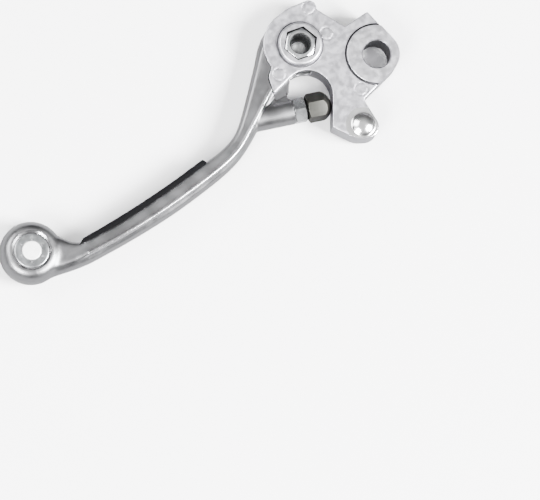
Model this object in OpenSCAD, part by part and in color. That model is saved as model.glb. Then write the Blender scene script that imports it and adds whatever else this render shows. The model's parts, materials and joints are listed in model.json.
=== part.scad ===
// Hydraulic hand brake lever in two hinged halves: a cast knuckle that turns on the master
// cylinder's pivot and pushes its piston, and a forged blade with a ball end, a rubber grip pad
// and a reach adjuster that bears on the knuckle.
// Origin: centre of the main pivot bore. +Z along the bore, +X from the ball end to the bore,
// +Y towards the fingers. Millimetres.

/* [Knuckle] */
// Diameter of the main pivot bore
bore_d = 12; // [8:0.5:14]
// Diameter of the boss around the main bore
boss_d = 25.6; // [22:0.2:28]
// Height of the main boss, which sets the fit in the master cylinder's fork
boss_h = 13; // [12:0.5:18]
// Thickness of the knuckle's plate
plate_h = 11; // [10:0.5:12]
// Break on the edge of the main bore
bore_chamfer = 0.5; // [0.2:0.1:1]
// Diameter of the polished nose that pushes the piston
nose_d = 15; // [12:0.2:16]
// Diameter of the round ejector marks
mark_d = 5.8; // [3:0.2:7]
// Depth of the ejector marks
mark_depth = 0.25; // [0.1:0.05:0.4]

/* [Hinge between knuckle and blade] */
// Place of the hinge along X, from the main bore
hinge_x = -26.2; // [-32:0.2:-25]
// Place of the hinge along Y, from the main bore
hinge_y = 19.8; // [18:0.2:24]
// Radius of the round ears about the hinge
ear_r = 15.6; // [14.5:0.1:18]
// Diameter of the raised ring round the hex pocket
ring_d = 19; // [18.5:0.1:21]
// Height that the ring stands over the plate
ring_rise = 2.5; // [1.5:0.1:3]
// Gap between the two ears
slot_h = 5.8; // [5:0.1:7]
// Width of the seam between the ears and the blade
seam = 0.4; // [0.3:0.05:1]
// Outer diameter of the hinge sleeve
sleeve_d = 11; // [9.8:0.1:11.6]
// Diameter of the sleeve's open bore
sleeve_bore_d = 8.6; // [7:0.1:8.8]
// Size across flats of the sleeve's hex head
hex_af = 12; // [11.8:0.1:12.6]
// Height of the sleeve's hex head
hex_h = 3.2; // [2.5:0.1:3.4]
// Clearance between the hex head and its pocket, on each side
hex_gap = 0.35; // [0.1:0.05:0.4]
// How far the hex pocket is turned about the hinge, in degrees
hex_turn = -10; // [-30:1:30]
// Wall of the bush that the sleeve turns in
bush_wall = 1.5; // [1:0.1:2]
// Radial running clearance in the bush
bush_gap = 0.03; // [0.02:0.01:0.08]
// Thickness of each thrust washer
thrust_h = 0.4; // [0.3:0.05:0.45]
// Diameter of the blade's tongue round the hinge
tongue_d = 23; // [22.4:0.2:24]
// Thread size of the hinge screw
screw_d = 6; // [5:0.5:6.5]
// Diameter of the hinge screw's head
screw_head_d = 12.5; // [11.5:0.1:14]
// Height of the hinge screw's head
screw_head_h = 2; // [1.5:0.1:2.4]
// Wire of the return spring
wire_d = 0.9; // [0.6:0.1:1]

/* [Blade] */
// Distance from the main bore to the ball end's centre
reach = 170.5; // [165:0.5:205]
// Diameter of the ball end
ball_d = 26.8; // [24:0.2:34]
// Thickness of the ball end
ball_h = 14; // [12:0.5:18]
// Half height of the blade at its middle
blade_half_h = 6.5; // [5.2:0.1:8]
// Height of the grip pad
pad_h = 10.6; // [8:0.2:12.6]
// Thickness of the grip pad at its middle
pad_t = 4.1; // [2:0.1:5]

/* [Ball end trim] */
// Diameter of the stud that holds the badge
stud_d = 8; // [5:0.5:9]
// Outer diameter of the star lock washer
star_d = 14.4; // [13:0.1:15.4]
// Thickness of the star lock washer
star_h = 0.6; // [0.4:0.1:1]
// Number of slots in the star lock washer
star_slots = 6; // [4:1:10]
// Diameter of the round badge on the underside
badge_d = 18; // [15:0.5:20]
// Thickness of the badge
badge_h = 1.6; // [1.2:0.1:2]

/* [Reach adjuster] */
// Thread size of the adjuster
adj_d = 6; // [5:0.5:7]
// Size across flats of the lock nut
nut_af = 10; // [9.5:0.1:12]
// Thickness of the lock nut
nut_h = 5.3; // [3:0.1:5.8]
// Size across flats of the adjuster's domed head
head_af = 11; // [10:0.1:12.6]
// Radius of the dome that bears on the knuckle
dome_r = 7; // [6.6:0.1:8]
// Direction of the adjuster in the lever's plane, in degrees
adj_turn = -18; // [-20:0.5:-16]
// Outer diameter of the threaded boss on the blade
tab_d = 10.8; // [9.5:0.1:13]
// Travel of the adjuster from fully in
adj_travel = 3; // [1:0.1:3.5]

/* [Hidden] */
$fn = 96;
EPS = 0.01;
TALL = 60;

hinge = [hinge_x, hinge_y];

// Running and seating clearances
seat_gap = 0.05;
thread_gap = 0.05;
contact_gap = 0.06;

// Levels, all symmetric about the mid plane
plate_z = plate_h / 2;
ring_z = plate_z + ring_rise;
slot_z = slot_h / 2;
pocket_z = ring_z - hex_h - 0.3;
thrust_gap = 0.05;
tongue_z = slot_z - thrust_h - 2 * thrust_gap;
sleeve_end_z = -(slot_z + 2);
bush_r = sleeve_d / 2 + bush_gap;
bush_outer_r = bush_r + bush_wall;

// Hinge screw: the floor of the sleeve that it ends in, its washer and its domed end
sleeve_floor_z = -1.4;
washer_h = 0.8;
dog_r = 2.7;
dog_z = -0.7;
dog_dome_r = 4.2;

// Return spring: it lies in a groove of the tongue, with one leg up in the ear and one leg down
// in the tongue
coil_r = bush_outer_r + wire_d / 2 + 1.15;
groove_z = -0.3;
coil_turns = 2.25;
coil_low_z = groove_z + wire_d / 2 + 0.1;
coil_high_z = slot_z - wire_d / 2 - 0.15;
leg_low_a = 60;
leg_high_a = leg_low_a + 360 * coil_turns;
leg_up = 1.4;
leg_down = 1.2;
leg_swing = 24;

// Outline of the knuckle as corners [x, y, fillet radius], the round marks and the nose
knuckle_corners = [[-32.6, -17.7, 1.2], [-26.4, -27.2, 9], [-14.5, -32.8, 5.2], [-15, -14, 1.8],
    [11.6, -6.9, 9.5], [6.4, 18, 0.8], [-5.3, 17.1, 0.5], [-14.9, 35.2, 1], [-24, 36.1, 9]];
top_mark = [-14.6, 31.7];
marks = [[-40.5, 13], [-13.7, 18.3], [-13.5, -9.7], top_mark];
nose = [-20.9, -23.3];

// Straight edges of the knuckle where it faces the adjuster: the ear's lower edge and the wall
// that the adjuster bears on, joined by a round throat
ear_edge_point = [-46.8, 7.2];
ear_edge_dir = [cos(14.3), sin(14.3)];
wall_point = [-26, -7];
wall_angle = 58.2;
wall_dir = [cos(wall_angle), sin(wall_angle)];
wall_normal = [-sin(wall_angle), cos(wall_angle)];
throat_r = 10.5;
edge_corner = ear_edge_point + ear_edge_dir
    * (((wall_point - ear_edge_point) * wall_normal) / (ear_edge_dir * wall_normal));

// Adjuster: the face of its boss, its axis and the lengths along it
tab_face = [-42.9, -2.85];
adj_dir = [cos(adj_turn), sin(adj_turn)];
ring_w = 0.7;
head_start = nut_h + ring_w + 2 * seat_gap;
dome_centre_t = ((tab_face - wall_point) * wall_normal - dome_r - contact_gap)
    / -(adj_dir * wall_normal);
head_end = dome_centre_t + dome_r;
tab_len = 17;
shank_in = 10 + adj_travel;
nut_roll = 35;

// Blade: [x, finger side, bar side, half height] of its outline, from the ears to the ball
mid_h = blade_half_h;
ball_x = -reach;
blade_keys = [
    [-36, 32.2, 9.9, plate_z], [-41, 28.6, 8.2, plate_z], [-48, 21.2, 5.2, plate_z + 0.2],
    [-58, 11.1, -1.1, mid_h - 0.4], [-68, 1.9, -7, mid_h - 0.1], [-77, -2.1, -10.7, mid_h],
    [-90, -3.9, -13.3, mid_h], [-110, -6, -15.6, mid_h], [-130, -7.4, -16.4, mid_h],
    [ball_x + 22.5, -6.8, -16.2, mid_h - 0.2], [ball_x + 17, -4.6, -15.9, mid_h - 0.4],
    [ball_x + 13.2, 0.6, -15.5, mid_h - 0.7], [ball_x + 8, 5, -14.5, mid_h - 1],
    [ball_x - 1, 6, -ball_d / 2 + 0.8, mid_h - 2]];
steps_per_key = 3;

// Grip pad: its two ends and the depth of its seat in the blade
pad_end_x = ball_x + 18.5;
pad_start_x = -87;
pad_mid_x = (pad_start_x + pad_end_x) / 2;
pad_low_x = pad_mid_x - 9.5;
pad_steps = 14;
pad_nose = 3;
peg_d = 3;
peg_in = 2.5;

// Ball end levels
washer_z = ball_h / 2 - 1.4;
recess_r = star_d / 2 + 0.3;
badge_z = -ball_h / 2 + badge_h - 0.3;

function unit(v) = v / norm(v);
function on_adjuster(t, side = 0) = tab_face + t * adj_dir + side * [-adj_dir[1], adj_dir[0]];

// Arc of the fillet of radius r at corner q, between the edges to p and s
function fillet(p, q, s, r, n) =
    let (u = unit(p - q), v = unit(s - q), half = acos(u * v) / 2,
        centre = q + unit(u + v) * r / sin(half),
        first = q + u * r / tan(half) - centre,
        a0 = atan2(first[1], first[0]),
        turn = (u[0] * v[1] - u[1] * v[0] > 0 ? -1 : 1) * (180 - 2 * half))
    [for (i = [0 : n]) centre + r * [cos(a0 + turn * i / n), sin(a0 + turn * i / n)]];

// Outline through corners [x, y, fillet radius]
function rounded(c, n = 6) = [for (i = [0 : len(c) - 1])
    let (p = c[(i + len(c) - 1) % len(c)], q = c[i], s = c[(i + 1) % len(c)])
    each q[2] > 0 ? fillet([p[0], p[1]], [q[0], q[1]], [s[0], s[1]], q[2], n) : [[q[0], q[1]]]];

// Smooth curve through the rows of a table
function spline(p0, p1, p2, p3, u) = 0.5 * (2 * p1 + (p2 - p0) * u
    + (2 * p0 - 5 * p1 + 4 * p2 - p3) * pow(u, 2) + (3 * p1 - p0 - 3 * p2 + p3) * pow(u, 3));
function smooth(t, n) = [for (i = [0 : len(t) - 2]) each [for (j = [0 : n - 1])
    spline(t[max(i - 1, 0)], t[i], t[i + 1], t[min(i + 2, len(t) - 1)], j / n)], t[len(t) - 1]];

// Solid through rings of points, each ring with the same number of points
module skin(rings) {
    n = len(rings[0]);
    m = len(rings);
    sides = [for (i = [0 : m - 2], j = [0 : n - 1]) let (a = i * n + j, b = i * n + (j + 1) % n)
        each [[a, b, a + n], [b, b + n, a + n]]];
    first = [for (j = [1 : n - 2]) [0, j + 1, j]];
    last = [for (j = [1 : n - 2]) [(m - 1) * n, (m - 1) * n + j, (m - 1) * n + j + 1]];
    polyhedron([for (r = rings) each r], concat(sides, first, last), convexity = 8);
}

// Pieces placed at the hinge, along the adjuster, and slabs about the mid plane
module at_hinge() { translate([hinge[0], hinge[1], 0]) children(); }
module along_adjuster(t = 0) {
    translate([on_adjuster(t)[0], on_adjuster(t)[1], 0]) rotate([0, 0, adj_turn]) rotate([0, 90, 0])
        children();
}
module slab(z) { translate([0, 0, -z]) linear_extrude(2 * z) children(); }
module disc(r, z0, z1) { translate([0, 0, z0]) cylinder(r = r, h = z1 - z0); }
module tube(r_out, r_in, z0, z1) {
    difference() {
        disc(r_out, z0, z1);
        disc(r_in, z0 - 1, z1 + 1);
    }
}
module hex_bar(af, z0, z1) {
    translate([0, 0, z0]) cylinder(r = af / sqrt(3), h = z1 - z0, $fn = 6);
}
// Hexagon whose corners are turned off at both ends; a dome radius rounds its far end instead
module turned_hex(af, z0, z1, turn, dome = 0) {
    corner = af / sqrt(3) + 0.1;
    face_r = af / 2 - 0.3;
    drop = 0.55 * (corner - face_r);
    dome_start = asin(corner / max(dome, corner));
    far_end = dome > corner
        ? [for (i = [0 : 12]) let (a = dome_start * (1 - i / 12))
            [dome * sin(a), z1 - dome * (1 - cos(a))]]
        : [[corner, z1 - drop], [face_r, z1], [0, z1]];
    intersection() {
        rotate([0, 0, turn]) hex_bar(af, z0 - 1, z1 + 1);
        rotate_extrude() polygon(concat([[0, z0], [face_r, z0], [corner, z0 + drop]], far_end));
    }
}

// ---- knuckle ----
// The ear's left side steps out from the round ear to a pointed tip
function ear_side(grow) = [[-40.7 - grow, 20, 0], [-41.4 - grow, 17.8, 1.5],
    [-45.2 - grow, 14.3, 3], [-47.4 - grow, 4, 0]];
module throat() {
    far = 60;
    polygon(rounded([
        concat(ear_edge_point - far * ear_edge_dir, [0]),
        concat(edge_corner, [throat_r]),
        concat(wall_point - far * wall_dir, [0])], 20));
}
module knuckle_outline() {
    difference() {
        union() {
            polygon(rounded(concat(knuckle_corners, [[hinge_x - 4, hinge_y + ear_r - 1.2, 0]],
                ear_side(0))));
            translate(hinge) circle(r = ear_r);
            translate(top_mark) circle(d = mark_d + 1);
        }
        throat();
    }
}
module slot_outline() {
    translate(hinge) circle(d = tongue_d + 2 * seam);
    translate(hinge) polygon([[0, 0], for (a = [128 : 14 : 240]) 40 * [cos(a), sin(a)]]);
}
module knuckle() color([0.78, 0.78, 0.8]) {
    difference() {
        union() {
            slab(plate_z) knuckle_outline();
            intersection() {
                disc(boss_d / 2, -boss_h / 2, boss_h / 2);
                slab(boss_h) knuckle_outline();
            }
            at_hinge() disc(ring_d / 2, -ring_z, ring_z);
            intersection() {
                translate([nose[0], nose[1], 0]) sphere(d = nose_d);
                slab(nose_d) knuckle_outline();
            }
        }
        disc(bore_d / 2, -TALL, TALL);
        for (s = [0, 1]) mirror([0, 0, s]) translate([0, 0, boss_h / 2 - bore_chamfer])
            cylinder(r1 = bore_d / 2, r2 = bore_d / 2 + 2 * bore_chamfer, h = 2 * bore_chamfer);
        slab(slot_z) slot_outline();
        at_hinge() {
            disc(sleeve_d / 2 + seat_gap, -TALL, TALL);
            rotate([0, 0, hex_turn]) hex_bar(hex_af + 2 * hex_gap, pocket_z, TALL);
            disc(screw_head_d / 2 + 0.3, -TALL, sleeve_end_z);
            spring_leg_hole();
        }
        for (m = marks, s = [0, 1]) mirror([0, 0, s])
            translate([m[0], m[1], plate_z - mark_depth]) cylinder(d = mark_d, h = 2);
    }
}

// ---- hinge ----
module pivot_sleeve() color([0.72, 0.73, 0.75]) at_hinge() {
    difference() {
        union() {
            turned_hex(hex_af, pocket_z, pocket_z + hex_h, hex_turn);
            disc(sleeve_d / 2, sleeve_end_z, pocket_z + EPS);
        }
        disc(sleeve_bore_d / 2, sleeve_floor_z, TALL);
        disc(screw_d / 2 + thread_gap, -TALL, TALL);
        translate([0, 0, pocket_z + hex_h - 0.4])
            cylinder(r1 = sleeve_bore_d / 2, r2 = sleeve_bore_d / 2 + 0.8, h = 0.8);
    }
}
module pivot_screw() color([0.6, 0.6, 0.62]) at_hinge() {
    head_top = sleeve_end_z - washer_h;
    difference() {
        disc(screw_head_d / 2 - 0.6, head_top - screw_head_h, head_top);
        hex_bar(4, -TALL, head_top - screw_head_h + 1.3);
    }
    disc(screw_d / 2, head_top - EPS, sleeve_floor_z + 0.2);
    disc(dog_r, sleeve_floor_z, dog_z);
    translate([0, 0, dog_z]) intersection() {
        translate([0, 0, 1 - dog_dome_r]) sphere(r = dog_dome_r);
        disc(dog_r, -EPS, 2);
    }
}
module pivot_washer() color([0.7, 0.7, 0.72]) at_hinge()
    tube(screw_head_d / 2, screw_d / 2 + thread_gap, sleeve_end_z - washer_h, sleeve_end_z);
module thrust_washer() {
    tube(bush_outer_r + 0.6, sleeve_d / 2 + seat_gap, tongue_z + thrust_gap,
        tongue_z + thrust_gap + thrust_h);
}
module upper_thrust_washer() color([0.75, 0.62, 0.35]) at_hinge() thrust_washer();
module lower_thrust_washer() color([0.75, 0.62, 0.35]) at_hinge() mirror([0, 0, 1]) thrust_washer();
module pivot_bush() color([0.7, 0.55, 0.3]) at_hinge() tube(bush_outer_r, bush_r, -tongue_z, tongue_z);

module spring_leg_hole() {
    rotate([0, 0, leg_high_a]) translate([coil_r, 0, 0]) disc(wire_d / 2 + 0.2, 0, slot_z + leg_up + 0.2);
}
module spring_groove() {
    tube(coil_r + wire_d / 2 + 0.2, coil_r - wire_d / 2 - 0.15, groove_z, TALL);
    rotate([0, 0, leg_low_a - leg_swing / 3]) rotate_extrude(angle = leg_swing)
        translate([coil_r - wire_d / 2 - 0.1, groove_z - leg_down - 0.3])
            square([wire_d + 0.2, leg_down + 1]);
}
function on_coil(a, z) = [coil_r * cos(a), coil_r * sin(a), z];
module return_spring() color([0.5, 0.5, 0.52]) at_hinge() {
    n = 54;
    path = concat([[leg_low_a, groove_z - leg_down], [leg_low_a, coil_low_z - 0.4]],
        [for (i = [0 : n]) let (u = i / n) [leg_low_a + 8 + (360 * coil_turns - 16) * u,
            coil_low_z + (coil_high_z - coil_low_z) * u]],
        [[leg_high_a, coil_high_z + 0.5], [leg_high_a, slot_z + leg_up]]);
    points = [for (p = path) on_coil(p[0], p[1])];
    skin([for (i = [0 : len(path) - 1])
        let (out = [cos(path[i][0]), sin(path[i][0]), 0],
            along = unit(points[min(i + 1, len(points) - 1)] - points[max(i - 1, 0)]),
            up = cross(along, out))
        [for (k = [0 : 7]) points[i] + wire_d / 2 * (cos(45 * k) * out - sin(45 * k) * up)]]);
}

// ---- blade ----
// Section of the blade: a narrow bar side, a ridge, a gentle top and a round finger side
function blade_section(k) =
    let (x = k[0], f = k[1], b = k[2], h = k[3], w = f - b,
        ridge = min(2.9, 0.3 * w),
        upper = [[b, 1.2], [b + 0.35 * ridge, 0.62 * h], [b + ridge, h], [b + 0.62 * w, h - 0.3],
            [f - 0.14 * w, h - 1.5], [f - 0.03 * w, h - 3.4], [f, 1.4]])
    concat([for (p = upper) [x, p[0], -p[1]]],
        [for (i = [len(upper) - 1 : -1 : 0]) [x, upper[i][0], upper[i][1]]]);

// The pad's seat bows with the blade, and the pad thins towards its ends
function pad_seat(x) = -9.6 + 5.6 * pow((x - pad_low_x) / 42, 2);
function pad_face(x) = pad_seat(x) + pad_t * (1 - 0.5 * pow((x - pad_mid_x) / 32, 2));
module pad_outline() {
    x0 = pad_end_x;
    x1 = pad_start_x;
    polygon(concat(
        [for (i = [0 : pad_steps]) let (x = x0 + (x1 - x0) * i / pad_steps) [x, pad_seat(x)]],
        [for (i = [0 : pad_steps]) let (x = x1 - 1 + (x0 + pad_nose - x1 + 1) * i / pad_steps)
            [x, pad_face(x)]]));
}
module pad_block() {
    slab(pad_h / 2) pad_outline();
    for (x = [pad_mid_x - 20, pad_mid_x + 20]) translate([x, pad_seat(x) + 1, 0]) rotate([90, 0, 0])
        cylinder(d = peg_d, h = peg_in + 1);
}
module grip_pad() color([0.06, 0.06, 0.07]) pad_block();

module ball_profile() {
    r = ball_d / 2;
    h = ball_h / 2;
    flat_r = recess_r + 1;
    bulge = r - flat_r;
    polygon([[0, -h], for (a = [-90 : 15 : 90]) [flat_r + bulge * cos(a), h * sin(a)], [0, h]]);
}
// The web and the threaded boss that carry the adjuster
module tab() {
    side_z = tab_d / 2 - 0.9;
    along_adjuster(-tab_len) cylinder(d = tab_d, h = tab_len);
    translate([tab_face[0], tab_face[1], 0]) rotate([0, 0, adj_turn]) rotate([90, 0, -90])
        linear_extrude(tab_len - 2) polygon([[3, side_z], [-1, side_z], [-10, tongue_z - 0.5],
            [-10, 0.5 - tongue_z], [-1, -side_z], [3, -side_z]]);
}
module web_outline() {
    polygon(rounded([[-37, 9.5, 0], [-40.5, 5, 3], [-42.6, -0.5, 0], [-56, 2, 0], [-57, 8, 0],
        [-43, 24.5, 0], [hinge_x - 9, hinge_y + 7, 0], [hinge_x, hinge_y - 9, 0]], 5));
}
module blade() color([0.7, 0.7, 0.72]) {
    difference() {
        union() {
            difference() {
                skin([for (k = smooth(blade_keys, steps_per_key)) blade_section(k)]);
                at_hinge() disc(ear_r + seam, -TALL, TALL);
                slab(TALL) polygon(rounded(concat(ear_side(seam), [[-30, 4, 0], [-30, 20, 0]])));
            }
            tab();
            slab(tongue_z) web_outline();
            at_hinge() disc(tongue_d / 2, -tongue_z, tongue_z);
            translate([ball_x, 0, 0]) rotate_extrude() ball_profile();
        }
        at_hinge() {
            disc(bush_outer_r, -TALL, TALL);
            spring_groove();
        }
        pad_block();
        along_adjuster(-shank_in - 1.5) cylinder(r = adj_d / 2 + thread_gap, h = shank_in + 3);
        translate([ball_x, 0, 0]) {
            disc(stud_d / 2 + seat_gap, -TALL, TALL);
            disc(recess_r, washer_z, TALL);
            translate([0, 0, ball_h / 2 - 1]) cylinder(r1 = recess_r, r2 = recess_r + 2, h = 2);
            disc(badge_d / 2 + 0.1, -TALL, badge_z);
        }
    }
}

// ---- ball end trim ----
module star_lock_washer() color([0.55, 0.55, 0.57]) translate([ball_x, 0, washer_z]) difference() {
    tube(star_d / 2, stud_d / 2 + seat_gap, 0, star_h);
    for (i = [0 : star_slots - 1]) rotate([0, 0, 360 * i / star_slots])
        translate([stud_d / 2 - 0.5, -0.4, -1]) cube([1.8, 0.8, 4]);
}
module badge_stud() color([0.85, 0.85, 0.86]) translate([ball_x, 0, 0]) {
    disc(stud_d / 2, badge_z - 0.4, ball_h / 2 - 0.2);
}
module end_badge() color([0.07, 0.07, 0.08]) translate([ball_x, 0, 0]) difference() {
    disc(badge_d / 2, badge_z - badge_h, badge_z);
    disc(stud_d / 2, badge_z - 0.4, TALL);
    for (r = [2, 4, 6]) tube(badge_d / 2 - r, badge_d / 2 - r - 0.6, -TALL, badge_z - badge_h + 0.3);
}

// ---- reach adjuster ----
module adjuster_lock_nut() color([0.8, 0.82, 0.84]) along_adjuster(seat_gap) difference() {
    turned_hex(nut_af, 0, nut_h, nut_roll);
    disc(adj_d / 2 + thread_gap, -1, TALL);
}
module adjuster_seal_ring() color([0.05, 0.05, 0.05]) along_adjuster(nut_h + 1.5 * seat_gap)
    tube(nut_af / 2 - 0.4, adj_d / 2 + thread_gap, 0, ring_w);
module adjuster_screw() color([0.36, 0.36, 0.35]) along_adjuster() {
    turned_hex(head_af, head_start, head_end, nut_roll - 15, dome_r);
    disc(adj_d / 2, -shank_in, head_start + EPS);
}

knuckle();
pivot_sleeve();
pivot_screw();
pivot_washer();
upper_thrust_washer();
lower_thrust_washer();
return_spring();
blade();
pivot_bush();
grip_pad();
adjuster_lock_nut();
adjuster_seal_ring();
adjuster_screw();
end_badge();
badge_stud();
star_lock_washer();
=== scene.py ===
"""A hydraulic hand brake lever: cast knuckle, forged blade with a ball end, grip pad and fasteners.

Every piece is made where the frame says, in metres. Machined faces are cut last, so that they
stay crisp on bodies whose other edges are tumbled round.
"""
import json
from math import acos, asin, atan2, cos, pi, radians, sin, sqrt, tan
import bpy
import bmesh
from bpy.props import FloatProperty, FloatVectorProperty, IntProperty, PointerProperty
from mathutils import Euler, Matrix, Vector


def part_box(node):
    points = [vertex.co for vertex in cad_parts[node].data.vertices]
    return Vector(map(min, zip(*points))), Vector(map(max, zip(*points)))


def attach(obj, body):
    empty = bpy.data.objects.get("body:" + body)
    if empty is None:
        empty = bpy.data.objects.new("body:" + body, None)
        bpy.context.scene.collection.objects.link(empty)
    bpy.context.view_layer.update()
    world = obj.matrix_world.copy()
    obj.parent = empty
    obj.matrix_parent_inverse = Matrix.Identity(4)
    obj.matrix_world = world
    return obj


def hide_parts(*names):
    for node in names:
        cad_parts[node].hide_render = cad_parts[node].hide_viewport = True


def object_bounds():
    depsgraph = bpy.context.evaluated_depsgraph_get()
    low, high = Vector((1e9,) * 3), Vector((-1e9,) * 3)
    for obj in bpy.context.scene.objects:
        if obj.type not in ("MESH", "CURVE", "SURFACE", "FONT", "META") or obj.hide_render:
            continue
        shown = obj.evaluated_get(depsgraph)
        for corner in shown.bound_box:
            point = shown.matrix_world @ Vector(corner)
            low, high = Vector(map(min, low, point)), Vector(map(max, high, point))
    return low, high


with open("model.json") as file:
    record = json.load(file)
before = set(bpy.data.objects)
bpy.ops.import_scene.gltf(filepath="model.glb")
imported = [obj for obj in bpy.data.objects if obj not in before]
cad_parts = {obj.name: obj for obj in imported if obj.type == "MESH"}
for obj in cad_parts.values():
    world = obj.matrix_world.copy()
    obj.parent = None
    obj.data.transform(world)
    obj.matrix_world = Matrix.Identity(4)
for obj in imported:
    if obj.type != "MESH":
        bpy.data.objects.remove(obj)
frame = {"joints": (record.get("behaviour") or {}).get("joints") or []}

bl_info = {
    "name": "Hand Brake Lever",
    "version": (1, 0, 0),
    "blender": (4, 5, 0),
    "location": "View3D > Sidebar > Lever",
    "description": "Models a hinged hand brake lever with a grip pad and a reach adjuster",
    "category": "Add Mesh",
}

MM = 0.001
THROUGH = 0.02  # how far a cutter reaches from the middle plane, past every face
CAD_BOX = [list(corner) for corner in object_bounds()]


def joint(name):
    """The frame's joint of that name."""
    return next(j for j in frame["joints"] if j["name"] == name)


def node_middle(node):
    """Middle of a CAD node's box."""
    low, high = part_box(node)
    return (Vector(low) + Vector(high)) / 2


HINGE = Vector(joint("reach_pivot")["pos_m"])
BALL = Vector((node_middle("badge_stud").x, node_middle("badge_stud").y, 0))
ADJUSTER = Vector(joint("adjuster_turn")["pos_m"])
ADJUSTER_DIR = Vector(joint("adjuster_turn")["axis"]).normalized()
FLOOR_Z = CAD_BOX[0][2]


# ---- sizes and colours -------------------------------------------------------------------------

def length(name, description, default):
    """A length property in metres, from a default in millimetres."""
    return FloatProperty(name=name, description=description, default=default * MM, unit="LENGTH",
                         subtype="DISTANCE", precision=5)


def colour(name, description, default):
    """A colour property."""
    return FloatVectorProperty(name=name, description=description, default=default, size=3,
                               min=0, max=1, subtype="COLOR")


class KnuckleSizes(bpy.types.PropertyGroup):
    """Sizes of the cast knuckle"""
    plate: length("Plate", "Thickness of the knuckle's plate", 11)
    boss_radius: length("Boss radius", "Radius of the boss round the main bore", 12.8)
    boss_height: length("Boss height", "Height of the boss, face to face", 13)
    bore_radius: length("Bore radius", "Radius of the main pivot bore", 6)
    ring_radius: length("Ring radius", "Radius of the raised ring round the hinge", 9.5)
    ring_height: length("Ring height", "Height of the hinge ring, face to face", 16)
    ear_radius: length("Ear radius", "Radius of the round ears", 15.6)
    slot: length("Slot", "Gap between the two ears", 5.8)
    nose_radius: length("Nose radius", "Radius of the polished nose", 7.5)
    mark_radius: length("Mark radius", "Radius of the ejector marks", 2.9)
    grain: length("Grain", "Edge of the smallest cell of the cast and forged surfaces", 0.3)


class BladeSizes(bpy.types.PropertyGroup):
    """Sizes of the forged blade"""
    ball_radius: length("Ball radius", "Radius of the ball end", 13.4)
    ball_height: length("Ball height", "Thickness of the ball end", 14)
    pad_height: length("Pad height", "Height of the grip pad", 10.6)


class FastenerSizes(bpy.types.PropertyGroup):
    """Sizes of the hinge, adjuster and ball end fasteners"""
    hinge_hex: length("Hinge hex", "Size across flats of the hinge sleeve", 12)
    lock_hex: length("Lock nut", "Size across flats of the adjuster's lock nut", 10)
    head_hex: length("Adjuster head", "Size across flats of the adjuster's head", 11)
    head_end: length("Head end", "Reach of the adjuster's head from its boss", 16.772)
    thread: length("Thread", "Thread size of the adjuster", 6)
    pitch: length("Pitch", "Thread pitch of the adjuster", 1)
    star_slots: IntProperty(name="Star slots", description="Slots in the star lock washer",
                            default=6, min=4, max=12)


class Finishes(bpy.types.PropertyGroup):
    """Colours of the finishes"""
    cast: colour("Cast", "Cast and tumbled aluminium", (0.53, 0.525, 0.56))
    forged: colour("Forged", "Satin forged aluminium", (0.215, 0.215, 0.221))
    bright: colour("Bright steel", "Turned and plated steel", (0.68, 0.7, 0.72))
    dark: colour("Dark steel", "Phosphated steel", (0.055, 0.055, 0.05))
    bronze: colour("Bronze", "Bearing bronze", (0.55, 0.38, 0.19))
    rubber: colour("Rubber", "Grip rubber", (0.0008, 0.0008, 0.001))
    plastic: colour("Badge plastic", "Moulded badge", (0.012, 0.012, 0.014))
    floor: colour("Floor", "Studio floor", (0.93, 0.93, 0.935))


class StageSettings(bpy.types.PropertyGroup):
    """Camera and light"""
    distance: FloatProperty(name="Distance", description="Camera to object", default=2.2,
                            unit="LENGTH", subtype="DISTANCE")
    lens: FloatProperty(name="Lens", description="Focal length in millimetres", default=348.4)
    key: FloatProperty(name="Key", description="Power of the key light", default=300, unit="POWER")
    fill: FloatProperty(name="Fill", description="Power of the fill light", default=140, unit="POWER")
    back: FloatProperty(name="Back", description="Power of the back light", default=55, unit="POWER")
    sky: FloatProperty(name="Sky", description="Strength of the surrounding light", default=1.0)


# ---- outlines ----------------------------------------------------------------------------------

def rounded(corners, steps=10):
    """Outline in metres through corners (x, y, fillet radius) in millimetres."""
    points = []
    for i, (x, y, r) in enumerate(corners):
        here = Vector((x, y)) * MM
        if r == 0:
            points.append(here)
            continue
        before = (Vector(corners[i - 1][:2]) * MM - here).normalized()
        after = (Vector(corners[(i + 1) % len(corners)][:2]) * MM - here).normalized()
        half = acos(max(-1, min(1, before.dot(after)))) / 2
        centre = here + (before + after).normalized() * r * MM / sin(half)
        first = here + before * r * MM / tan(half) - centre
        start = atan2(first.y, first.x)
        sweep = (pi - 2 * half) * (-1 if before.cross(after) > 0 else 1)
        for k in range(steps + 1):
            a = start + sweep * k / steps
            points.append(centre + r * MM * Vector((cos(a), sin(a))))
    return points


def arc(centre, radius, start, end, steps):
    """Points on an arc, with its angles in degrees."""
    angles = [radians(start + (end - start) * k / steps) for k in range(steps + 1)]
    return [Vector((centre[0] + radius * cos(a), centre[1] + radius * sin(a))) for a in angles]


# ---- modelling tools ---------------------------------------------------------------------------

def deselect():
    """Leaves edit mode and selects nothing."""
    if bpy.context.object and bpy.context.object.mode != "OBJECT":
        bpy.ops.object.mode_set(mode="OBJECT")
    bpy.ops.object.select_all(action="DESELECT")


def pick(*objects):
    """Selects these objects alone, with the first one active."""
    deselect()
    for o in objects:
        o.select_set(True)
    bpy.context.view_layer.objects.active = objects[0]


def edit(obj):
    """Edit mode on obj with everything selected."""
    pick(obj)
    bpy.ops.object.mode_set(mode="EDIT")
    bpy.ops.mesh.select_all(action="SELECT")


def done():
    """Back to object mode."""
    bpy.ops.object.mode_set(mode="OBJECT")


def settle(obj):
    """Puts an object's place, turn and size into its mesh."""
    pick(obj)
    bpy.ops.object.transform_apply(location=True, rotation=True, scale=True)
    return obj


def loop(points):
    """A closed wire through 3D points, as an object."""
    deselect()
    bpy.ops.mesh.primitive_circle_add(vertices=len(points), radius=MM)
    obj = bpy.context.object
    for v, p in zip(obj.data.vertices, points):
        v.co = p
    return obj


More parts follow.
